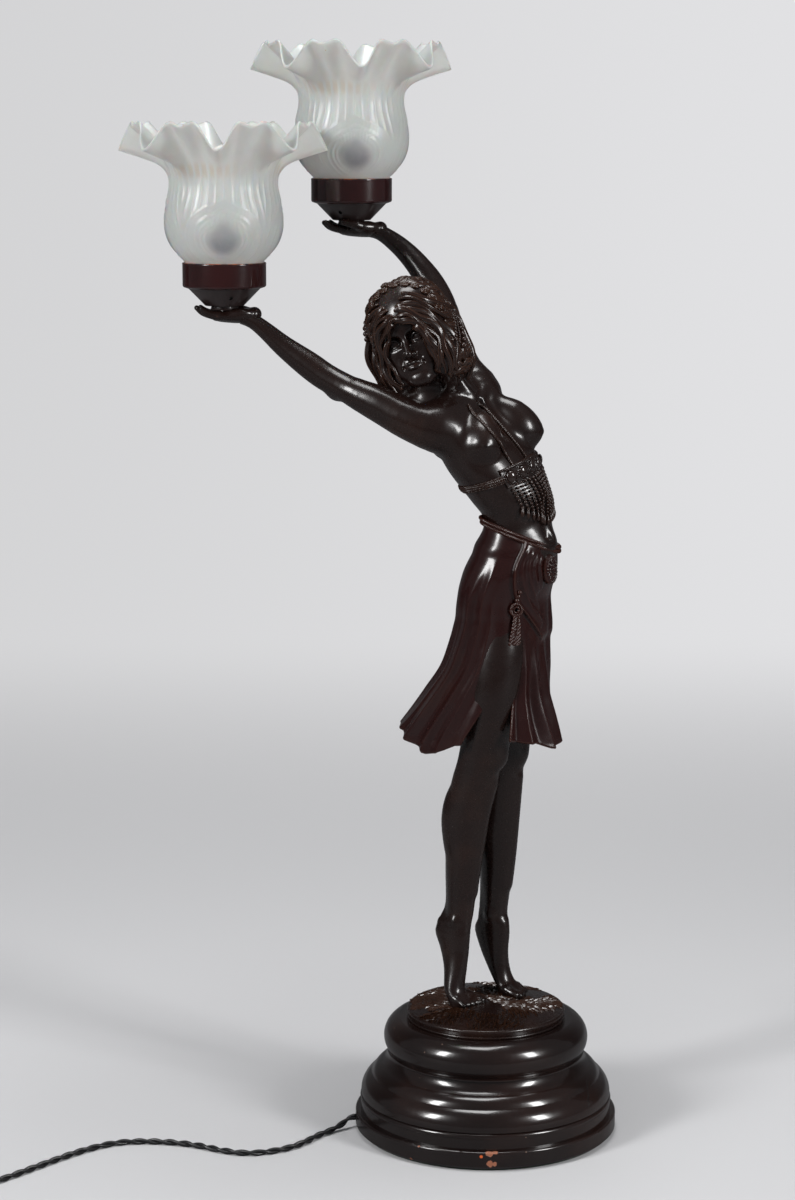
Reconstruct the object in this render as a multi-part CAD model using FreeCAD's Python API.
import FreeCAD, Part
import math
import os
from FreeCAD import Vector

# Figural table lamp: a dancer on a turned base lifts a glass shade on each hand.
# Millimetres. The origin is the centre of the base's underside on the table, +Z is up, +X is
# the way the skirt's front hangs and -Y is the side that the figure's right flank shows to.

os.makedirs("parts", exist_ok=True)

# ---------------------------------------------------------------- turned base, from the table up
felt_thick = 1.5
foot_r = 100.0
foot_h = 13.5
foot_edge = 2.0          # rounding of the foot band's top edge
band_r = 96.0
band_h = 8.5
bead_h = 4.5
bead_bow = 1.0
groove_deep = 1.5
ovolo_r = 95.5
ovolo_top_r = 88.0
ovolo_h = 15.0
ovolo_bow = 2.4
ogee_mid_r = 79.5
ogee_upper_h = 8.5
ogee_lower_h = 8.5
neck_r = 73.0
lip_out = 2.5
lip_h = 2.5
torus_r = 66.5           # where the torus closes at its top
torus_h = 25.5
torus_bow = 7.4
base_cavity_r = 60.0
base_web = 33.0          # solid wood-like web left above the cavity
felt_inset = 4.0
cover_r = 66.0
cover_thick = 1.5
cover_screw_r = 1.7
cover_screw_head_r = 3.2
cover_screw_head_h = 1.0
cover_screw_l = 12.0
cover_screw_count = 3
running_gap = 0.2        # what slips in by hand

# ---------------------------------------------------------------- ground disc under the feet
disc_r = 60.5
disc_rim_h = 5.0
disc_bead = 0.8
disc_round = 2.0
mound_h = 8.0
rod_r = 5.0
rod_bore_r = 3.2
rod_into_disc = 8.0
rod_below_web = 14.0
nut_flats = 17.0
nut_h = 6.0
washer_r = 15.0
washer_h = 2.0

# ---------------------------------------------------------------- flex inside the base
flex_d = 4.8
flex_exit_azimuth = 185.5   # degrees round the base, from +X
flex_exit_h = 9.5
flex_first_run = 5.0         # straight out of the bush before it sags to the table
bush_wall = 1.4
clamp_l = 16.0
clamp_w = 10.0
clamp_h = 13.0
block_x = 24.0
block_l = 14.0
block_w = 20.0
block_h = 16.0
lamp_wire_d = 2.4

# ---------------------------------------------------------------- figure
# Rows of a limb: x, y, height above the mound, half size across the body, half size front to back.
facing = 35.0            # degrees that the body faces off +X, towards -Y
right_leg_rows = [
    (-19.0, -13.0, -6.0, 10.0, 9.5),
    (-20.5, -12.0, 3.0, 10.5, 9.5),
    (-24.0, -9.0, 10.0, 10.0, 8.0),
    (-23.5, -5.0, 24.0, 8.5, 9.5),
    (-24.0, -1.0, 37.0, 8.0, 12.0),
    (-25.5, 1.0, 50.0, 8.5, 15.0),
    (-23.5, 2.0, 58.0, 9.0, 13.5),
    (-20.0, 2.0, 67.0, 10.0, 10.8),
    (-18.0, 2.0, 100.0, 12.5, 12.8),
    (-16.0, 2.0, 125.0, 15.5, 15.4),
    (-14.5, 1.0, 146.0, 17.0, 17.2),
    (-6.0, -6.0, 184.0, 17.5, 18.5),
    (0.0, -10.0, 208.0, 19.0, 19.5),
    (4.0, -13.0, 240.0, 21.5, 21.5),
    (6.5, -11.5, 272.0, 20.5, 22.0),
    (9.0, -8.0, 300.0, 16.0, 18.0),
]
left_leg_rows = [
    (20.0, 12.0, -7.0, 9.5, 10.5),
    (18.5, 13.0, 2.0, 9.5, 10.0),
    (14.0, 17.0, 9.0, 9.0, 8.0),
    (10.0, 20.0, 19.0, 8.5, 9.5),
    (7.0, 22.0, 31.0, 8.0, 12.0),
    (5.5, 24.0, 45.0, 8.5, 15.0),
    (6.5, 24.0, 54.0, 9.0, 13.0),
    (7.0, 25.0, 63.0, 10.0, 10.6),
    (9.0, 26.0, 95.0, 12.5, 12.7),
    (9.5, 26.0, 120.0, 14.5, 14.8),
    (10.0, 25.0, 141.0, 15.8, 16.0),
    (12.5, 22.0, 181.0, 17.0, 17.3),
    (17.0, 21.0, 205.0, 19.0, 19.0),
    (21.0, 21.0, 238.0, 20.0, 20.0),
    (22.0, 20.0, 270.0, 18.5, 19.5),
    (21.0, 18.0, 300.0, 15.0, 16.0),
]
torso_rows = [
    (21.5, 4.0, 334.0, 36.0, 29.0),
    (22.5, 3.0, 349.0, 34.5, 26.5),
    (22.5, 3.0, 361.0, 30.5, 23.8),
    (21.5, 3.0, 372.0, 30.5, 23.8),
    (17.0, 4.0, 383.0, 34.5, 27.5),
    (10.5, 5.0, 395.0, 38.0, 30.0),
    (4.5, 6.0, 406.0, 41.0, 32.0),
    (-1.0, 8.0, 417.0, 43.0, 32.5),
    (-7.0, 9.5, 428.0, 44.0, 31.0),
    (-13.0, 11.0, 439.0, 43.0, 27.5),
    (-17.5, 12.0, 449.0, 38.0, 22.0),
    (-20.0, 12.5, 457.0, 27.0, 17.0),
    (-22.0, 12.5, 462.0, 18.0, 14.0),
]
bust = [(-6.0, -20.0, 429.0), (23.0, 20.0, 434.0)]
bust_r = 16.5
# Rows of an arm: x, y, height above the mound, half size sideways, half size up and down.
right_arm_rows = [
    (-22.0, -6.0, 434.0, 14.0, 13.0),
    (-40.0, -15.0, 438.0, 16.0, 16.0),
    (-58.6, -14.0, 445.0, 15.0, 15.4),
    (-77.0, -9.0, 453.5, 13.0, 13.4),
    (-94.0, -3.0, 461.0, 11.2, 11.4),
    (-107.0, 3.0, 467.5, 10.2, 10.2),
    (-121.0, 8.0, 474.6, 10.2, 10.2),
    (-134.0, 12.0, 483.5, 10.0, 10.0),
    (-152.0, 16.0, 496.5, 8.4, 8.0),
    (-165.5, 18.0, 508.0, 7.5, 6.4),
    (-175.0, 19.0, 515.0, 7.5, 5.6),
    (-184.0, 20.0, 518.4, 10.5, 5.6),
    (-194.0, 20.0, 519.3, 13.0, 5.0),
    (-203.0, 19.5, 521.0, 12.0, 4.0),
    (-209.0, 19.0, 523.8, 9.5, 2.8),
    (-213.0, 19.0, 526.8, 5.0, 1.3),
]
left_arm_rows = [
    (-9.0, 24.0, 440.0, 13.0, 12.0),
    (-5.5, 36.0, 461.0, 14.0, 14.5),
    (-16.0, 46.0, 477.0, 12.4, 12.4),
    (-23.5, 58.0, 493.6, 11.4, 11.4),
    (-29.3, 70.0, 508.6, 10.7, 10.7),
    (-34.5, 80.0, 524.6, 10.7, 10.7),
    (-42.0, 87.0, 538.7, 10.3, 10.3),
    (-50.5, 92.0, 550.6, 9.2, 9.2),
    (-59.7, 97.0, 561.0, 8.1, 8.1),
    (-70.0, 101.0, 570.0, 7.5, 7.0),
    (-81.0, 104.0, 577.0, 7.5, 5.8),
    (-91.0, 105.0, 579.3, 10.5, 5.6),
    (-101.0, 105.0, 579.3, 13.0, 5.0),
    (-109.0, 105.0, 579.6, 11.5, 4.0),
    (-114.0, 105.0, 580.6, 8.5, 2.6),
    (-117.5, 105.0, 581.8, 4.5, 1.3),
]
# Rows of the head, up its own leaning axis: distance up from the chin, forward of the axis,
# half size across, half size front to back.
head_tilt = (-0.26, 0.13, 0.957)
head_face = (-0.20, -0.975, 0.08)
chin_at = (-54.0, -21.0, 472.0)
head_rows = [
    (-3.0, -9.0, 8.0, 5.5),
    (4.0, -9.0, 13.0, 11.0),
    (13.0, -12.5, 18.0, 16.5),
    (25.0, -17.0, 22.0, 22.5),
    (39.0, -21.5, 24.0, 28.0),
    (53.0, -22.5, 23.5, 28.0),
    (64.0, -22.5, 17.5, 21.5),
    (70.0, -22.5, 8.5, 11.0),
]
neck_rows = [
    (-18.0, 12.5, 446.0, 15.0, 15.0),
    (-23.0, 12.0, 462.0, 14.0, 14.0),
    (-30.0, 10.0, 473.0, 12.5, 12.5),
    (-40.0, 7.0, 485.0, 12.5, 12.5),
    (-47.0, 4.0, 500.0, 13.0, 13.0),
]
# Rows of the hair: x, y, height, half size sideways, half size front to back.
hair_rows = [
    (-45.0, 3.0, 461.0, 16.0, 12.0),
    (-47.0, 3.0, 470.0, 28.0, 20.0),
    (-48.0, 3.0, 484.0, 34.0, 27.0),
    (-51.0, 4.0, 498.0, 35.0, 32.0),
    (-57.0, 5.0, 512.0, 33.5, 34.0),
    (-60.0, 5.0, 527.0, 29.0, 31.0),
    (-60.5, 5.0, 540.0, 19.5, 22.0),
    (-60.0, 5.0, 547.0, 9.0, 10.0),
]
face_window = (21.0, 25.0)   # half width and half height of the opening that the hair frames
face_window_up = 30.0        # its centre, up from the chin
diadem_out = 2.5
diadem_w = 15.0
diadem_normal = (-0.20, -0.72, 0.66)
diadem_at = (-60.0, 5.0, 508.0)

# ---------------------------------------------------------------- skirt
# Rows: x, y, height, half size across, half size front to back, depth of the folds.
skirt_rows = [
    (22.5, 3.0, 380.0, 30.0, 24.0, 0.0),
    (22.0, 3.0, 361.0, 31.5, 25.0, 0.0),
    (19.5, 4.0, 346.0, 37.0, 30.0, 0.3),
    (15.5, 5.5, 329.0, 42.0, 33.5, 0.6),
    (11.0, 7.5, 311.0, 42.0, 31.5, 0.9),
    (10.5, 8.5, 293.0, 41.5, 32.0, 1.3),
    (8.5, 9.5, 275.0, 42.0, 34.5, 1.8),
    (6.0, 11.0, 257.0, 43.0, 39.0, 2.4),
    (1.0, 13.5, 239.0, 45.0, 46.0, 3.0),
    (-3.0, 16.0, 221.0, 47.0, 55.0, 3.6),
    (-7.5, 19.0, 201.0, 49.0, 68.0, 4.4),
]
fold_count = 9
fold_turn = 0.6              # radians that the folds swing round from waist to hem
skirt_wall = 8.0             # at the hem, from the folds' middle line to the hollow
skirt_wall_above = 24.0      # the same at the hollow's ceiling, where the skirt narrows
skirt_hollow_deep = 18.0     # how far the underside is hollowed above the hem
slit_top = (17.0, 288.0)     # x and height of the slit's point
slit_hem = (-14.0, 25.0)     # its two edges at the hem
slit_to_y = -8.0

# ---------------------------------------------------------------- ornaments
belt_at = (22.0, 0.0, 358.5)
belt_normal = (0.38, 0.02, 0.925)
belt_w = 3.6
belt_out = 2.2
band_at = (8.0, 4.0, 402.0)
band_normal = (-0.32, 0.0, 0.947)
rib_band_w = 6.0
rib_band_out = 1.6
plaque_w = 15.0
plaque_out = 3.4
plaque_from = -84.0          # degrees, seen from above, of the plaque's two ends
plaque_to = 24.0
stone_count = 5
stone_r = 3.4
strand_count = 14
strand_r = 1.25
strand_first_l = 15.0        # the strands' lengths over the flank, at the middle and at the far end
strand_middle_l = 30.0
strand_last_l = 27.0
drop_r = 1.55
drop_l = 7.0
strand_gap = 0.35
fringe_margin = 6.0          # degrees from the plaque's ends to the first and last strand
halter_r = 1.3
medallion_half = (7.5, 11.5)
medallion_thick = 5.0
medallion_h = 334.0
tassel_h = 319.0
tassel_turn = -75.0          # degrees, seen from above
tassel_bead_r = 1.8
brooch_r = 5.0
brooch_hole_r = 2.2
brooch_thick = 3.0
tassel_l = 21.0

# ---------------------------------------------------------------- lamp heads
lamps = {
    "right": {"x": -196.0, "y": 20.0, "palm": 523.7, "hole": -73.0},
    "left": {"x": -103.0, "y": 105.0, "palm": 583.7, "hole": -114.0},
}
cup_pad_r = 11.0
cup_pad_h = 3.0
cup_cone_r = 14.4
cup_cone_top_r = 26.6
cup_cone_h = 12.5
cup_r = 31.0
cup_band_h = 19.4
cup_round = 3.0
cup_wall = 1.8
cup_floor = 3.0
cup_screw_r = 1.3
nipple_r = 5.0
nipple_bore_r = 3.0
nipple_into_palm = 6.0
holder_r = 13.0
holder_l = 46.0
holder_flange_r = 17.0
holder_flange_h = 1.5
holder_wall = 2.0
ring_r = 19.0
ring_h = 5.0
thread_gap = 0.3
shade_wall = 3.0
shade_foot_r = 27.6
shade_below = 7.0            # how far the glass stands down inside the cup
# Rows of the glass: height above the cup's top, radius, half height of the ruffle, half its swing.
shade_rows = [
    (0.0, 28.5, 0.0, 0.0),
    (13.0, 39.6, 0.0, 0.0),
    (29.6, 43.8, 0.0, 0.0),
    (45.0, 42.0, 0.0, 0.0),
    (58.3, 39.7, 0.0, 0.0),
    (70.0, 43.5, 0.8, 1.0),
    (80.0, 55.0, 3.5, 3.0),
    (91.5, 73.0, 8.5, 4.0),
]
shade_lobes = 8
bulb_cap_r = 6.8
bulb_cap_l = 22.0
bulb_r = 17.5
bulb_l = 56.0
bulb_neck_r = 7.4

# ---------------------------------------------------------------- flex, switch and plug
# The flex's way over the table from the base to the switch, chosen by eye.
lead_points = [
    (-109.5, -12.5, 5.2),
    (-116.0, -18.0, 2.6),
    (-127.0, -28.5, 2.4),
    (-142.0, -51.0, 2.4),
    (-158.0, -62.5, 2.4),
    (-177.0, -68.5, 2.4),
    (-196.0, -64.5, 2.4),
    (-220.0, -50.0, 2.4),
    (-250.0, -42.5, 2.4),
    (-280.0, -44.5, 2.4),
    (-304.0, -61.0, 2.4),
    (-328.0, -87.0, 2.4),
    (-353.0, -116.0, 2.4),
    (-377.0, -139.0, 2.4),
    (-403.0, -144.0, 2.4),
    (-421.0, -128.5, 2.6),
    (-426.0, -108.0, 4.4),
    (-426.5, -91.0, 9.0),
]
switch_end = (-426.5, -76.0)
switch_l = 60.0
switch_w = 27.0
switch_h = 18.0
switch_round = 6.0
switch_split = 9.0
switch_window = (9.0, 21.0)
rocker_l = 19.0
rocker_w = 7.6
rocker_rise = 2.2
rocker_rest = 8.0            # degrees that it leans at rest, towards its off side
pivot_r = 1.0
link_drop = 30.0             # how far on the flex comes down from the switch to the table
coil_gap = 0.5
coil_inner_r = 20.0
coil_turns = 3               # whole turns in each of the two layers
coil_tail = 19.0             # the straight end that leads to the plug, clear of the turns
plug_w = 26.0
plug_l = 34.0
plug_thick = 14.0
plug_face_w = 33.0
plug_nose_l = 22.0
pin_r = 2.0
pin_l = 19.0
pin_pitch = 19.0
pin_into = 10.0
pin_shank_r = 1.6            # the pins' thinner shanks inside the plug's body

# ================================================================ derived places
foot_top = felt_thick + foot_h
band_top = foot_top + band_h
bead_top = band_top + bead_h
ovolo_top = bead_top + ovolo_h
neck_z = ovolo_top + ogee_lower_h + ogee_upper_h
lip_top = neck_z + lip_h
base_top = lip_top + torus_h
cavity_top = base_top - base_web
ground_z = base_top + disc_rim_h + mound_h + disc_round
turn = math.radians(facing)
forward = Vector(math.cos(turn), -math.sin(turn), 0)
leftward = Vector(math.sin(turn), math.cos(turn), 0)
up = Vector(0, 0, 1)
sideways = Vector(0, 1, 0)   # the way across both palms
reach = 2000.0               # longer than anything here, for tools that cut right through


# ================================================================ helpers
def save(shape, name):
    shape.exportStep("parts/" + name + ".step")
    return shape


def at_ground(point):
    """A place given by its height above the mound."""
    return Vector(point[0], point[1], ground_z + point[2])


def bowed(start, end, bow):
    """A straight edge, or an arc whose middle stands `bow` to the right of the way."""
    if bow == 0:
        return Part.LineSegment(start, end).toShape()
    way = end - start
    side = Vector(way.z, 0, -way.x).normalize()
    middle = (start + end) * 0.5 + side * bow
    return Part.Arc(start, middle, end).toShape()


def lathe(rows, x=0.0, y=0.0, z=0.0):
    """A turned solid: rows of radius, height and bow, closed back to the first row."""
    edges = []
    for i, row in enumerate(rows):
        after = rows[(i + 1) % len(rows)]
        bow = after[2] if len(after) > 2 else 0
        edges.append(bowed(Vector(row[0], 0, row[1]), Vector(after[0], 0, after[1]), bow))
    face = Part.Face(Part.Wire(edges))
    solid = face.revolve(Vector(0, 0, 0), up, 360)
    solid.translate(Vector(x, y, z))
    return solid


def cap_bow(half_width, rise):
    """The bow of an arc from a rim to an apex on the axis that makes a true spherical cap."""
    chord = math.hypot(half_width, rise)
    radius = chord ** 2 / (2 * rise)
    return radius - math.sqrt(radius ** 2 - chord ** 2 / 4)


def cylinder(radius, length, start, along=up):
    return Part.makeCylinder(radius, length, start, along)


def fused(shapes):
    whole = shapes[0]
    for shape in shapes[1:]:
        whole = whole.fuse(shape)
    return whole.removeSplitter()


def biggest(shape):
    """The main solid, without crumbs that a cut leaves."""
    return max(shape.Solids, key=lambda solid: solid.Volume)


def ring(centre, across, deep, half_across, half_deep, points=8, folds=0, fold=0.0, phase=0.0):
    """A smooth closed ring: an ellipse, or one with folds round it."""
    places = []
    for i in range(points):
        angle = 2 * math.pi * i / points
        swell = 1 + fold * math.cos(folds * angle + phase)
        places.append(
            centre
            + across * (half_across * swell * math.cos(angle))
            + deep * (half_deep * swell * math.sin(angle))
        )
    curve = Part.BSplineCurve()
    curve.interpolate(places, PeriodicFlag=True)
    return Part.Wire(curve.toShape())


def loft(rings):
    return Part.makeLoft(rings, True, False)


def body_loft(rows, grow=0.0):
    """A loft of level rings that face the way the body faces."""
    return loft([
        ring(at_ground(r), leftward, forward, r[3] + grow, r[4] + grow) for r in rows
    ])


def limb_frames(rows):
    """Each row's centre with the directions sideways and upwards, square to the limb."""
    centres = [at_ground(r) for r in rows]
    frames = []
    for i, centre in enumerate(centres):
        before = centres[max(i - 1, 0)]
        after = centres[min(i + 1, len(centres) - 1)]
        way = (after - before).normalize()
        side = (sideways - way * way.dot(sideways)).normalize()
        frames.append((centre, side, side.cross(way).normalize()))
    return frames


def limb(rows):
    rings = []
    for row, (centre, side, rise) in zip(rows, limb_frames(rows)):
        rings.append(ring(centre, side, rise, row[3], row[4]))
    return loft(rings)


def faceted_rod(places, radii, sides=6):
    """A thin strand with flat sides, ring by ring, square to its way."""
    rings = []
    for i, place in enumerate(places):
        before = places[max(i - 1, 0)]
        after = places[min(i + 1, len(places) - 1)]
        way = (after - before).normalize()
        side = way.cross(Vector(0.31, 0.95, 0.05)).normalize()
        rise = side.cross(way).normalize()
        corners = []
        for k in range(sides + 1):
            angle = 2 * math.pi * k / sides
            corners.append(
                place + side * (radii[i] * math.cos(angle)) + rise * (radii[i] * math.sin(angle))
            )
        rings.append(Part.makePolygon(corners))
    return Part.makeLoft(rings, True, True)


def slab(centre, normal, thick, half=300.0):
    """A wide flat plate, centred on a place, for cutting a band out of a form."""
    plate = Part.makeBox(2 * half, 2 * half, thick, Vector(-half, -half, -thick / 2))
    plate.Placement = FreeCAD.Placement(centre, FreeCAD.Rotation(up, Vector(*normal)))
    return plate


def row_at(rows, height):
    """The row of a form at any height, between the two rows given."""
    ordered = sorted(rows, key=lambda r: r[2])
    for low, high in zip(ordered, ordered[1:]):
        if height <= high[2]:
            share = (height - low[2]) / (high[2] - low[2])
            return [a + share * (b - a) for a, b in zip(low, high)]
    return list(ordered[-1])


def on_form(rows, degrees, height, out):
    """A place on a body form, by its direction seen from above and its height."""
    row = row_at(rows, height)
    way = Vector(math.cos(math.radians(degrees)), math.sin(math.radians(degrees)), 0)
    a = way.dot(leftward) / (row[3] + out)
    b = way.dot(forward) / (row[4] + out)
    return at_ground(row) + way * (1 / math.sqrt(a * a + b * b))


def sector(centre, first, last):
    """A tall wedge between two directions seen from above."""
    far = 200.0
    corners = [Vector(centre[0], centre[1], 0)]
    for k in range(5):
        angle = math.radians(first + (last - first) * k / 4)
        corners.append(corners[0] + Vector(far * math.cos(angle), far * math.sin(angle), 0))
    corners.append(corners[0])
    return Part.Face(Part.makePolygon(corners)).extrude(Vector(0, 0, reach))


# ================================================================ base
exit_way = Vector(
    math.cos(math.radians(flex_exit_azimuth)), math.sin(math.radians(flex_exit_azimuth)), 0
)
exit_point = exit_way * foot_r + Vector(0, 0, flex_exit_h)
flex_r = flex_d / 2
bush_r = flex_r + bush_wall
cover_z = felt_thick + cover_thick
rod_hole_r = rod_r + running_gap

plinth = lathe([
    (rod_hole_r, base_top),
    (rod_hole_r, cavity_top),
    (base_cavity_r, cavity_top),
    (base_cavity_r, cover_z),
    (cover_r + running_gap, cover_z),
    (cover_r + running_gap, felt_thick),
    (foot_r - foot_edge, felt_thick),
    (foot_r, felt_thick + foot_edge),
    (foot_r, foot_top - foot_edge),
    (foot_r - foot_edge, foot_top, 0.4 * foot_edge),
    (band_r, foot_top),
    (band_r, band_top),
    (band_r - groove_deep, bead_top - groove_deep / 2, bead_bow),
    (ovolo_r, bead_top),
    (ovolo_top_r, ovolo_top, ovolo_bow),
    (ovolo_top_r - groove_deep / 2, ovolo_top + groove_deep / 2),
    (ogee_mid_r, ovolo_top + ogee_lower_h, 1.2),
    (neck_r, neck_z, -1.2),
    (neck_r + lip_out, neck_z + lip_h / 3),
    (neck_r + lip_out, lip_top - lip_h / 3),
    (neck_r + lip_out / 2, lip_top),
    (torus_r, base_top, torus_bow),
])
bush_hole = cylinder(bush_r, foot_r, exit_way * (base_cavity_r - 5) + Vector(0, 0, flex_exit_h), exit_way)
plinth = plinth.cut(bush_hole)
screw_ring_r = (base_cavity_r + cover_r) / 2
screws = []
for k in range(cover_screw_count):
    angle = 2 * math.pi * k / cover_screw_count + math.pi / 6
    place = Vector(screw_ring_r * math.cos(angle), screw_ring_r * math.sin(angle), felt_thick)
    shank = cylinder(cover_screw_r, cover_screw_l, place)
    head = cylinder(cover_screw_head_r, cover_screw_head_h, place)
    screws.append(shank.fuse(head).removeSplitter())
    plinth = plinth.cut(cylinder(cover_screw_r, cover_screw_l, place))
cover = lathe([(0, felt_thick), (cover_r, felt_thick), (cover_r, cover_z), (0, cover_z)])
for screw in screws:
    cover = cover.cut(screw)
save(plinth, "base_plinth")
save(cover, "base_cover")
save(Part.makeCompound(screws), "cover_screws")
save(cylinder(foot_r - felt_inset, felt_thick, Vector(0, 0, 0)), "base_felt")

disc_top = base_top + disc_rim_h
ground = lathe([
    (0, base_top),
    (disc_r - disc_bead, base_top),
    (disc_r - disc_bead, base_top + disc_rim_h * 0.4, disc_bead),
    (disc_r - disc_bead / 2, base_top + disc_rim_h * 0.5),
    (disc_r, disc_top),
    (disc_r - disc_round, disc_top + disc_round, 0.4 * disc_round),
    (0, ground_z, cap_bow(disc_r - disc_round, mound_h)),
])
ground = ground.cut(cylinder(rod_hole_r, rod_into_disc, Vector(0, 0, base_top)))
save(ground, "ground_disc")

rod_low = cavity_top - rod_below_web
rod = cylinder(rod_r, base_top + rod_into_disc - rod_low, Vector(0, 0, rod_low))
rod = rod.cut(cylinder(rod_bore_r, reach, Vector(0, 0, 0)))
washer_low = cavity_top - washer_h
washer = cylinder(washer_r, washer_h, Vector(0, 0, washer_low))
washer = washer.cut(cylinder(rod_r, reach, Vector(0, 0, 0)))
hexagon = [
    Vector(
        nut_flats / math.sqrt(3) * math.cos(math.pi / 3 * k),
        nut_flats / math.sqrt(3) * math.sin(math.pi / 3 * k),
        washer_low - nut_h,
    )
    for k in range(7)
]
nut = Part.Face(Part.makePolygon(hexagon)).extrude(Vector(0, 0, nut_h))
nut = nut.cut(cylinder(rod_r, reach, Vector(0, 0, 0)))
save(rod, "tie_rod")
save(washer, "tie_washer")
save(nut, "tie_nut")

# The flex runs in through a rubber bush, under a clamp, to the terminal block on the cover.
bush_l = foot_r - base_cavity_r
bush_start = exit_way * base_cavity_r + Vector(0, 0, flex_exit_h)
bush = cylinder(bush_r, foot_r, bush_start, exit_way).cut(cylinder(flex_r, 2 * foot_r, bush_start, exit_way))
bush = bush.common(cylinder(foot_r, base_top, Vector(0, 0, 0)))
save(bush, "flex_bush")
flex_reach = foot_r + block_x
inner_start = exit_way * -block_x + Vector(0, 0, flex_exit_h)
inner_flex = cylinder(flex_r, flex_reach, inner_start, exit_way)
save(inner_flex, "flex_inner")
turned = FreeCAD.Rotation(Vector(1, 0, 0), exit_way)


def on_flex_way(box_l, box_w, box_h, distance):
    """A block on the cover, set along the flex, its near face at a distance from the axis."""
    block = Part.makeBox(box_l, box_w, box_h, Vector(distance, -box_w / 2, cover_z))
    block.Placement = FreeCAD.Placement(Vector(0, 0, 0), turned)
    return block


clamp = on_flex_way(clamp_l, clamp_w, clamp_h, base_cavity_r - 2 * clamp_l).cut(inner_flex)
save(clamp, "cord_clamp")
block = on_flex_way(block_l, block_w, block_h, -block_x - block_l)
save(block, "terminal_block")
wire_r = lamp_wire_d / 2
wire_low = cover_z + block_h
lamp_wires = []
for side in (-1, 1):
    top_end = Vector(0, side * (wire_r + 0.15), base_top + rod_into_disc)
    below = Vector(0, top_end.y, rod_low - 4)
    over = exit_way * (-block_x - block_l / 2) + Vector(0, side * 5, wire_low + 2)
    start = over - Vector(0, 0, 2)
    lamp_wires.append(fused([
        cylinder(wire_r, 2, start),
        Part.makeSphere(wire_r, over),
        cylinder(wire_r, (below - over).Length, over, below - over),
        Part.makeSphere(wire_r, below),
        cylinder(wire_r, top_end.z - below.z, below),
    ]))
save(Part.makeCompound(lamp_wires), "lamp_wires")

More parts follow.
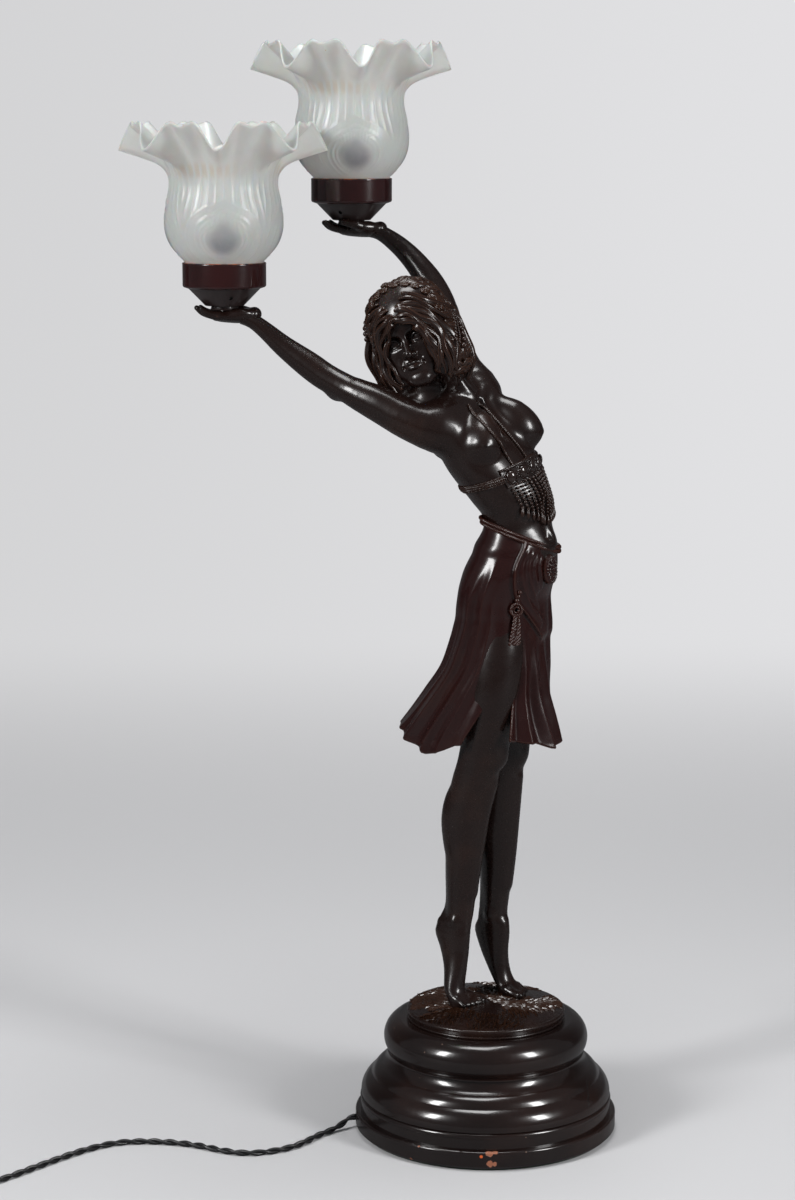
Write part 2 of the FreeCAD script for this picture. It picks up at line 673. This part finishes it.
# ================================================================ lamp heads
cup_h = cup_pad_h + cup_cone_h + cup_band_h
shades = {}
cups = {}
nipples = {}
for name, lamp in lamps.items():
    x, y = lamp["x"], lamp["y"]
    foot = ground_z + lamp["palm"]
    rim = foot + cup_h
    cone_top = cup_pad_h + cup_cone_h
    inside = cup_r - cup_wall
    floor = cone_top + cup_floor
    cup = lathe([
        (nipple_r, 0),
        (cup_pad_r, 0),
        (cup_pad_r - 1, cup_pad_h, -0.4),
        (cup_cone_r, cup_pad_h),
        (cup_cone_top_r, cone_top),
        (cup_r - cup_round / 2, cone_top + cup_round / 3),
        (cup_r, cone_top + cup_round, 0.5),
        (cup_r, cup_h - cup_round / 2),
        (cup_r - cup_wall / 2, cup_h, 0.5),
        (inside, cup_h),
        (inside, floor),
        (nipple_r, floor),
    ], x, y, foot)
    hole_way = Vector(math.cos(math.radians(lamp["hole"])), math.sin(math.radians(lamp["hole"])), 0)
    hole_z = foot + cup_pad_h + cup_cone_h / 2
    hole_mouth = Vector(x, y, hole_z) + hole_way * cup_cone_top_r
    hole_end = nipple_r
    drill = cylinder(cup_screw_r, cup_cone_top_r - hole_end, hole_mouth, hole_way * -1)
    cup = cup.cut(drill)
    screw_l = (cup_cone_r - hole_end) * 0.8
    grub = cylinder(cup_screw_r, screw_l, Vector(x, y, hole_z) + hole_way * (nipple_r + 0.5), hole_way)
    nipple_low = foot - nipple_into_palm
    nipple_top = foot + floor + 4
    nipple = cylinder(nipple_r, nipple_top - nipple_low, Vector(x, y, nipple_low))
    nipple = nipple.cut(cylinder(nipple_bore_r, reach, Vector(x, y, 0)))
    grub = grub.cut(nipple)
    save(cup, name + "_cup")
    save(grub, name + "_cup_screw")
    save(nipple, name + "_nipple")
    cups[name] = cup
    nipples[name] = nipple

    # Lampholder: a sleeve on the nipple, with a flange under the glass and a ring above it.
    seat = cup_h - shade_below
    holder_foot = floor
    holder_top = holder_foot + holder_l
    holder = lathe([
        (nipple_r, holder_foot),
        (holder_r, holder_foot),
        (holder_r, seat - holder_flange_h),
        (holder_flange_r, seat - holder_flange_h),
        (holder_flange_r, seat),
        (holder_r, seat),
        (holder_r, holder_top),
        (bulb_cap_r + thread_gap, holder_top),
        (bulb_cap_r + thread_gap, holder_top - bulb_cap_l),
        (nipple_r, holder_top - bulb_cap_l),
    ], x, y, foot)
    save(holder, name + "_lampholder")
    shade_ring = lathe([
        (holder_r + running_gap, seat + shade_wall),
        (ring_r, seat + shade_wall),
        (ring_r, seat + shade_wall + ring_h),
        (holder_r + running_gap, seat + shade_wall + ring_h),
    ], x, y, foot)
    save(shade_ring, name + "_shade_ring")

    # Glass: an outer and an inner skin through the same rows, joined at the foot and the rim.
    axis = Vector(x, y, 0)
    rows = [(-shade_below, shade_foot_r, 0.0, 0.0)] + shade_rows
    points = 4 * shade_lobes

    def skin(inset):
        rings = []
        for k, (height, radius, swing_z, swing_r) in enumerate(rows):
            places = []
            lift = shade_wall if (inset > 0 and k == 0) else 0.0
            for i in range(points):
                angle = 2 * math.pi * i / points
                wave = math.cos(shade_lobes * angle)
                r = radius - inset + swing_r * wave
                z = rim + height + lift - swing_z * wave
                places.append(axis + Vector(r * math.cos(angle), r * math.sin(angle), z))
            curve = Part.BSplineCurve()
            curve.interpolate(places, PeriodicFlag=True)
            rings.append(Part.Wire(curve.toShape()))
        return rings, Part.makeLoft(rings, False, False)

    outer_rings, outer = skin(0.0)
    inner_rings, inner = skin(shade_wall)
    rim_strip = Part.makeRuledSurface(outer_rings[-1], inner_rings[-1])
    foot_face = Part.Face([outer_rings[0]])
    seat_face = Part.Face([inner_rings[0]])
    shell = Part.makeShell(outer.Faces + inner.Faces + rim_strip.Faces + foot_face.Faces + seat_face.Faces)
    shell.sewShape()
    glass = Part.Solid(Part.Shell(shell.Faces))
    if glass.Volume < 0:
        glass.reverse()
    glass = glass.cut(cylinder(holder_r + running_gap, reach, Vector(x, y, 0)))
    shades[name] = glass
    save(biggest(glass), name + "_shade")

    cap_low = foot + holder_top - bulb_cap_l
    save(cylinder(bulb_cap_r, bulb_cap_l, Vector(x, y, cap_low + thread_gap)), name + "_bulb_cap")
    bulb_low = foot + holder_top + thread_gap
    bulb = lathe([
        (0, 0),
        (bulb_neck_r, 0),
        (bulb_r, bulb_l * 0.45, 1.5),
        (bulb_r * 0.5, bulb_l * 0.86, 2.6),
        (0, bulb_l, cap_bow(bulb_r * 0.5, bulb_l * 0.14)),
    ], x, y, bulb_low)
    save(bulb, name + "_bulb_glass")

# ================================================================ figure
right_leg = body_loft(right_leg_rows).cut(ground)
left_leg = body_loft(left_leg_rows).cut(ground).cut(right_leg)
right_leg = biggest(right_leg)
left_leg = biggest(left_leg)
save(right_leg, "right_leg")
save(left_leg, "left_leg")

belt_centre = at_ground(belt_at)
above_belt = slab(belt_centre + Vector(*belt_normal).normalize() * 150, belt_normal, 300)
below_belt = slab(belt_centre - Vector(*belt_normal).normalize() * 150, belt_normal, 300)
torso = body_loft(torso_rows).cut(below_belt)
for place in bust:
    torso = torso.fuse(Part.makeSphere(bust_r, at_ground(place)))
torso = biggest(torso)


def skirt_ring(row, shrink):
    swing = fold_turn * (skirt_rows[0][2] - row[2]) / (skirt_rows[0][2] - skirt_rows[-1][2])
    return ring(
        at_ground(row), leftward, forward, row[3] - shrink, row[4] - shrink,
        4 * fold_count, fold_count, row[5] / row[4], fold_count * swing,
    )


skirt_outer = loft([skirt_ring(r, 0.0) for r in skirt_rows])
hem = skirt_rows[-1]
hem_h = hem[2]
ceiling = row_at(skirt_rows, hem_h + skirt_hollow_deep)
skirt_hollow = loft([
    ring(at_ground(r), leftward, forward, r[3] - inset, r[4] - inset)
    for r, inset in ((hem, skirt_wall), (ceiling, skirt_wall_above))
])
skirt = skirt_outer.cut(above_belt).cut(skirt_hollow)
slit = Part.makePolygon([
    at_ground((slit_top[0], -reach / 2, slit_top[1])),
    at_ground((slit_hem[0], -reach / 2, hem_h - 5)),
    at_ground((slit_hem[1], -reach / 2, hem_h - 5)),
    at_ground((slit_top[0], -reach / 2, slit_top[1])),
])
skirt = skirt.cut(Part.Face(slit).extrude(Vector(0, reach / 2 + slit_to_y, 0)))
skirt = biggest(skirt.cut(right_leg).cut(left_leg))
save(skirt, "skirt")

head_up = Vector(*head_tilt).normalize()
face_way = (Vector(*head_face) - head_up * Vector(*head_face).dot(head_up)).normalize()
head_side = head_up.cross(face_way).normalize()
chin = at_ground(chin_at)
skull = loft([
    ring(chin + head_up * r[0] + face_way * r[1], head_side, face_way, r[2], r[3])
    for r in head_rows
])
neck = body_loft(neck_rows)
head = skull.fuse(neck)
head = biggest(head)
torso = biggest(torso.cut(head))

right_arm = biggest(limb(right_arm_rows).cut(torso).cut(head).cut(cups["right"]).cut(nipples["right"]))
left_arm = biggest(limb(left_arm_rows).cut(torso).cut(head).cut(cups["left"]).cut(nipples["left"]))
save(torso, "torso")
save(head, "head")
save(right_arm, "right_arm")
save(left_arm, "left_arm")


def hair_form(grow):
    return loft([
        ring(at_ground(r), Vector(1, 0, 0), Vector(0, 1, 0), r[3] + grow, r[4] + grow)
        for r in hair_rows
    ])


window_centre = chin + head_up * face_window_up
window = ring(window_centre + face_way * 2, head_side, head_up, face_window[0], face_window[1])
window_tool = Part.Face(window).extrude(face_way * 100)
hair_full = hair_form(0.0)
hair = hair_full.cut(window_tool).cut(head).cut(torso).cut(right_arm).cut(left_arm)
hair = biggest(hair)
save(hair, "hair")
diadem = hair_form(diadem_out).common(slab(at_ground(diadem_at), diadem_normal, diadem_w))
diadem = diadem.cut(slab(at_ground((0, 0, diadem_at[2] - 160)), (0, 0, 1), 300))
diadem = diadem.cut(hair_full).cut(left_arm).cut(right_arm).cut(window_tool)
save(biggest(diadem), "diadem")

# ================================================================ ornaments
belt = body_loft([tuple(r[:5]) for r in torso_rows], belt_out).common(slab(belt_centre, belt_normal, belt_w))
belt = biggest(belt.cut(torso).cut(skirt))
save(belt, "waist_cord")
band_centre = at_ground(band_at)
wide_form = body_loft(torso_rows, plaque_out)
plaque_sector = sector((band_at[0], band_at[1]), plaque_from, plaque_to)
plaque = wide_form.common(slab(band_centre, band_normal, plaque_w)).common(plaque_sector)
plaque = biggest(plaque.cut(torso))
rib_band = body_loft(torso_rows, rib_band_out).common(slab(band_centre, band_normal, rib_band_w))
rib_band = rib_band.cut(torso).cut(plaque_sector)
save(rib_band, "rib_band")


def band_height(degrees, offset, out):
    """The height at which the plaque's plane meets the body in one direction."""
    height = band_at[2]
    for _ in range(6):
        place = on_form(torso_rows, degrees, height, out)
        lean = Vector(*band_normal)
        flat = (place.x - band_at[0]) * lean.x + (place.y - band_at[1]) * lean.y
        height = band_at[2] + (offset - flat) / lean.z
    return height


stones = []
for k in range(stone_count):
    degrees = plaque_from + (plaque_to - plaque_from) * (k + 0.5) / stone_count
    place = on_form(torso_rows, degrees, band_height(degrees, 0, plaque_out), plaque_out)
    stones.append(biggest(Part.makeSphere(stone_r, place).cut(plaque).cut(torso).cut(rib_band)))
save(plaque, "bust_plaque")
save(Part.makeCompound(stones), "plaque_stones")

strands = []
for k in range(strand_count):
    share = k / (strand_count - 1)
    degrees = plaque_from + fringe_margin + (plaque_to - plaque_from - 2 * fringe_margin) * share
    if share < 0.5:
        strand_l = strand_first_l + (strand_middle_l - strand_first_l) * 2 * share
    else:
        strand_l = strand_middle_l + (strand_last_l - strand_middle_l) * (2 * share - 1)
    top = band_height(degrees, -plaque_w / 2, plaque_out) + 1
    steps = 4
    heights = [top - (strand_l + 1) * j / steps for j in range(steps + 1)]
    heights += [top - 1 - strand_l - drop_l * j / 3 for j in (1, 2, 3)]
    radii = [strand_r] * (steps + 1) + [drop_r * 0.8, drop_r, drop_r * 0.3]
    places = [on_form(torso_rows, degrees, h, r + strand_gap) for h, r in zip(heights, radii)]
    strands.append(biggest(faceted_rod(places, radii).cut(plaque).cut(torso)))
save(Part.makeCompound(strands), "bead_fringe")

halters = []
for start, end in ((-62.0, -80.0), (-30.0, -35.0)):
    places = []
    count = 6
    for j in range(count + 1):
        share = j / count
        height = band_height(start, plaque_w / 2, plaque_out) * (1 - share) + 456.0 * share
        places.append(on_form(torso_rows, start + (end - start) * share, height - 1, 0.4))
    cord = faceted_rod(places, [halter_r] * (count + 1))
    halters.append(biggest(cord.cut(torso).cut(plaque).cut(head)))
save(Part.makeCompound(halters), "halter_cords")

medal_place = on_form([r[:5] for r in skirt_rows], -facing, medallion_h, 0.0)
medal = ring(medal_place - forward * 3, leftward, up, medallion_half[0], medallion_half[1])
medallion = Part.Face(medal).extrude(forward * (medallion_thick + 3))
medallion = biggest(medallion.cut(skirt).cut(belt))
save(medallion, "medallion")

tassel_pieces = []
plain_skirt = [r[:5] for r in skirt_rows]
bead_top_h = tassel_h
for k in range(3):
    tassel_pieces.append(Part.makeSphere(
        tassel_bead_r, on_form(plain_skirt, tassel_turn, bead_top_h - 3.2 * k, 0.8)
    ))
brooch_h = bead_top_h - 3.2 * 3 - brooch_r + 1.2
brooch_way = Vector(math.cos(math.radians(tassel_turn)), math.sin(math.radians(tassel_turn)), 0)
brooch_place = on_form(plain_skirt, tassel_turn, brooch_h, -1.0)
brooch = cylinder(brooch_r, brooch_thick + 1.0, brooch_place, brooch_way)
brooch = brooch.cut(cylinder(brooch_hole_r, brooch_thick + 1.0, brooch_place + brooch_way * 2.2, brooch_way))
tassel_pieces.append(brooch)
for turn_by in (-5.0, 0.0, 5.0):
    places = [
        on_form(plain_skirt, tassel_turn + turn_by, brooch_h - brooch_r + 1 - tassel_l * j / 4, 0.8)
        for j in range(5)
    ]
    tassel_pieces.append(faceted_rod(places, [1.2, 1.6, 1.6, 2.0, 1.0]))
tassel = fused(tassel_pieces).cut(skirt).cut(right_leg)
save(Part.makeCompound(tassel.Solids), "side_tassel")


# ================================================================ flex, switch and plug
def tangent_path(points):
    """Straight runs joined by tangent arcs; prints the radii."""
    edges = []
    radii = []
    last = points[0]
    for before, corner, after in zip(points, points[1:], points[2:]):
        into = corner - before
        out = after - corner
        half_turn = into.getAngle(out) / 2
        tangent = 0.45 * min(into.Length, out.Length)
        radii.append(round(tangent / math.tan(half_turn), 1))
        start = corner - into.normalize() * tangent
        end = corner + out.normalize() * tangent
        inward = (start + end) * 0.5 - corner
        radius = tangent / math.tan(half_turn)
        centre = corner + inward.normalize() * math.hypot(tangent, radius)
        middle = centre - inward.normalize() * radius
        edges.append(Part.LineSegment(last, start).toShape())
        edges.append(Part.Arc(start, middle, end).toShape())
        last = end
    edges.append(Part.LineSegment(last, points[-1]).toShape())
    return Part.Wire(edges), radii


def tube(path, radius):
    start = path.Edges[0].valueAt(path.Edges[0].FirstParameter)
    way = path.Edges[0].tangentAt(path.Edges[0].FirstParameter)
    section = Part.Wire(Part.makeCircle(radius, start, way))
    return path.makePipeShell([section], True, False)


def report(name, path, solid):
    expected = math.pi * flex_r ** 2 * path.Length
    print(name, "length", round(path.Length, 1), "volume share", round(solid.Volume / expected, 4))


switch_mouth = Vector(switch_end[0], switch_end[1], switch_h / 2)
lead = [exit_point, exit_point + exit_way * flex_first_run]
lead += [Vector(*p) for p in lead_points] + [switch_mouth]
lead_path, lead_radii = tangent_path(lead)
lead_solid = tube(lead_path, flex_r)
report("flex_lead", lead_path, lead_solid)
print("flex_lead radii", lead_radii)
save(lead_solid, "flex_lead")

# The coil: half turns whose radius shrinks by half a pitch each, a climbing half turn, and the
# same way out again one layer higher.
coil_pitch = flex_d + coil_gap
coil_outer_r = coil_inner_r + coil_turns * coil_pitch
link_start = switch_mouth + Vector(0, switch_l, 0)
link = [
    link_start,
    link_start + Vector(0, flex_d * 1.6, 0),
    Vector(link_start.x, link_start.y + link_drop - flex_d * 1.6, flex_r),
    Vector(link_start.x, link_start.y + link_drop, flex_r),
]
link_path, link_radii = tangent_path(link)
link_solid = tube(link_path, flex_r)
report("flex_link", link_path, link_solid)
print("flex_link radii", link_radii)
save(link_solid, "flex_link")

coil_edges = []
place = link[-1]
straight = Vector(0, flex_d, 0)
coil_edges.append(Part.LineSegment(place, place + straight).toShape())
place = place + straight
heading = 1                      # +1 while the flex runs towards +Y, -1 on the way back


def half_turn(start, radius, sense):
    """Half a turn to the left, level, from a start heading +Y or -Y."""
    centre = start - Vector(sense * radius, 0, 0)
    middle = centre + Vector(0, sense * radius, 0)
    end = start - Vector(sense * 2 * radius, 0, 0)
    return Part.Arc(start, middle, end).toShape(), end


def biarc(start, way_in, end, way_out):
    """Two arcs that join two places and leave each along its way."""
    chord = end - start
    both = way_in + way_out
    spread = 2 * (1 - way_in.dot(way_out))
    root = math.sqrt(chord.dot(both) ** 2 + spread * chord.dot(chord))
    length = (root - chord.dot(both)) / spread
    joint = (start + end + (way_in - way_out) * length) * 0.5
    return [arc_from(start, way_in, joint), arc_from(end, way_out * -1, joint)]


def arc_from(start, way, end):
    chord = end - start
    side = (chord - way * chord.dot(way)).normalize()
    radius = chord.dot(chord) / (2 * chord.dot(side))
    centre = start + side * radius
    middle = centre + ((start + end) * 0.5 - centre).normalize() * radius
    return Part.Arc(start, middle, end).toShape()


half_turns = 2 * coil_turns
for k in range(half_turns):
    edge, place = half_turn(place, coil_outer_r - coil_pitch / 2 * (k + 0.5), heading)
    coil_edges.append(edge)
    heading = -heading
climb_r = coil_inner_r - coil_pitch / 4
centre = place - Vector(heading * climb_r, 0, 0)
quarter = centre + Vector(0, heading * climb_r, coil_pitch / 2)
after = centre - Vector(heading * climb_r, 0, -coil_pitch)
slope = coil_pitch / (math.pi * climb_r) * 1.3
crossing = Vector(-heading, 0, slope).normalize()
coil_edges += biarc(place, Vector(0, heading, 0), quarter, crossing)
coil_edges += biarc(quarter, crossing, after, Vector(0, -heading, 0))
place = after
heading = -heading
for k in range(half_turns):
    edge, place = half_turn(place, coil_inner_r + coil_pitch / 2 * (k + 0.5), heading)
    coil_edges.append(edge)
    heading = -heading
coil_end = place + Vector(0, heading * coil_tail, 0)
coil_edges.append(Part.LineSegment(place, coil_end).toShape())
coil_path = Part.Wire(Part.__sortEdges__(coil_edges))
coil_solid = tube(coil_path, flex_r)
report("flex_coil", coil_path, coil_solid)
save(coil_solid, "flex_coil")


def least_gap(path, near):
    """The tube's least gap to itself, measured on points along its path."""
    count = int(path.Length / 1.5)
    places = path.discretize(Number=count)
    step = path.Length / (count - 1)
    skip = int(near / step) + 1
    least = reach
    for i in range(count):
        for j in range(i + skip, count):
            least = min(least, (places[i] - places[j]).Length)
    return least - flex_d


print("flex_coil least gap to itself", round(least_gap(coil_path, 40.0), 2))

# Switch: a base and a cover that meet at the flex's middle, with a rocker on two pivots.
sx, sy = switch_end
shell_block = Part.makeBox(switch_w, switch_l, switch_h, Vector(sx - switch_w / 2, sy, 0))
upright = [
    e for e in shell_block.Edges
    if abs(e.Vertexes[0].Point.z - e.Vertexes[1].Point.z) > switch_h / 2
]
shell_block = shell_block.makeFillet(switch_round, upright)
well = Part.makeBox(
    switch_window[0], switch_window[1], switch_h,
    Vector(sx - switch_window[0] / 2, sy + (switch_l - switch_window[1]) / 2, switch_split),
)
mid_y = sy + switch_l / 2
lower_half = Part.makeBox(2 * switch_w, switch_l, switch_split, Vector(sx - switch_w, sy, 0))
switch_base = shell_block.common(lower_half)
switch_cover = shell_block.cut(lower_half).cut(well)
pivot_z = switch_h - 3.0
pivot = cylinder(pivot_r, switch_window[0] + 4, Vector(sx - switch_window[0] / 2 - 2, mid_y, pivot_z), Vector(1, 0, 0))
pivot_hole = cylinder(
    pivot_r + 0.05, switch_window[0] + 4.6, Vector(sx - switch_window[0] / 2 - 2.3, mid_y, pivot_z), Vector(1, 0, 0)
)
switch_cover = switch_cover.cut(pivot_hole)
half_l = rocker_l / 2
rocker_corners = [
    Vector(sx - rocker_w / 2, mid_y - half_l, switch_h - 1.0),
    Vector(sx - rocker_w / 2, mid_y - half_l, switch_h + rocker_rise),
    Vector(sx - rocker_w / 2, mid_y, switch_h + rocker_rise * 0.35),
    Vector(sx - rocker_w / 2, mid_y + half_l, switch_h + rocker_rise),
    Vector(sx - rocker_w / 2, mid_y + half_l, switch_h - 1.0),
    Vector(sx - rocker_w / 2, mid_y, pivot_z - 3.0),
]
rocker = Part.Face(Part.makePolygon(rocker_corners + rocker_corners[:1])).extrude(Vector(rocker_w, 0, 0))
rocker = rocker.fuse(pivot).removeSplitter()
rocker.rotate(Vector(sx, mid_y, pivot_z), Vector(1, 0, 0), -rocker_rest)
save(switch_base, "switch_base")
save(switch_cover, "switch_cover")
save(rocker, "switch_rocker")

# Plug: a flat two-pin body with a tapered sleeve, lying on the table beside the coil.
plug_x = coil_end.x
flex_z = coil_end.z
nose_end = coil_end.y - plug_nose_l
nose_small = Part.Wire(Part.makeCircle(flex_r + 1.2, Vector(plug_x, coil_end.y, flex_z), Vector(0, -1, 0)))
nose_large = Part.Wire(Part.makeCircle(flex_r + 3.0, Vector(plug_x, nose_end, flex_z), Vector(0, -1, 0)))
nose = Part.makeLoft([nose_small, nose_large], True, True)


def plug_ring(y, width, thick):
    half_w, half_t = width / 2, thick / 2
    low = plug_thick / 2 - half_t
    cut = half_t * 0.55
    corners = [
        Vector(plug_x - half_w + cut, y, low),
        Vector(plug_x + half_w - cut, y, low),
        Vector(plug_x + half_w, y, low + half_t),
        Vector(plug_x + half_w - cut, y, low + thick),
        Vector(plug_x - half_w + cut, y, low + thick),
        Vector(plug_x - half_w, y, low + half_t),
    ]
    return Part.makePolygon(corners + corners[:1])


plug_face_y = nose_end - plug_l
plug_back = Part.makeLoft([
    plug_ring(nose_end, plug_w * 0.55, plug_thick * 0.95),
    plug_ring(nose_end - plug_l * 0.5, plug_w, plug_thick),
    plug_ring(plug_face_y, plug_face_w, plug_thick),
], True, True)
pins = []
for side in (-1, 1):
    start = Vector(plug_x + side * pin_pitch / 2, plug_face_y, plug_thick / 2)
    shank = cylinder(pin_shank_r, pin_into, start + Vector(0, pin_into, 0), Vector(0, -1, 0))
    pin = cylinder(pin_r, pin_l - pin_r / 2, start, Vector(0, -1, 0))
    tip = Part.makeCone(
        pin_r, pin_r / 2, pin_r / 2, start - Vector(0, pin_l - pin_r / 2, 0), Vector(0, -1, 0)
    )
    pins.append(fused([shank, pin, tip]))
plug_body = plug_back.fuse(nose).removeSplitter()
for pin in pins:
    plug_body = plug_body.cut(pin)
save(plug_body, "plug_body")
save(Part.makeCompound(pins), "plug_pins")
print("flex in all", round(lead_path.Length + link_path.Length + coil_path.Length + switch_l, 1))
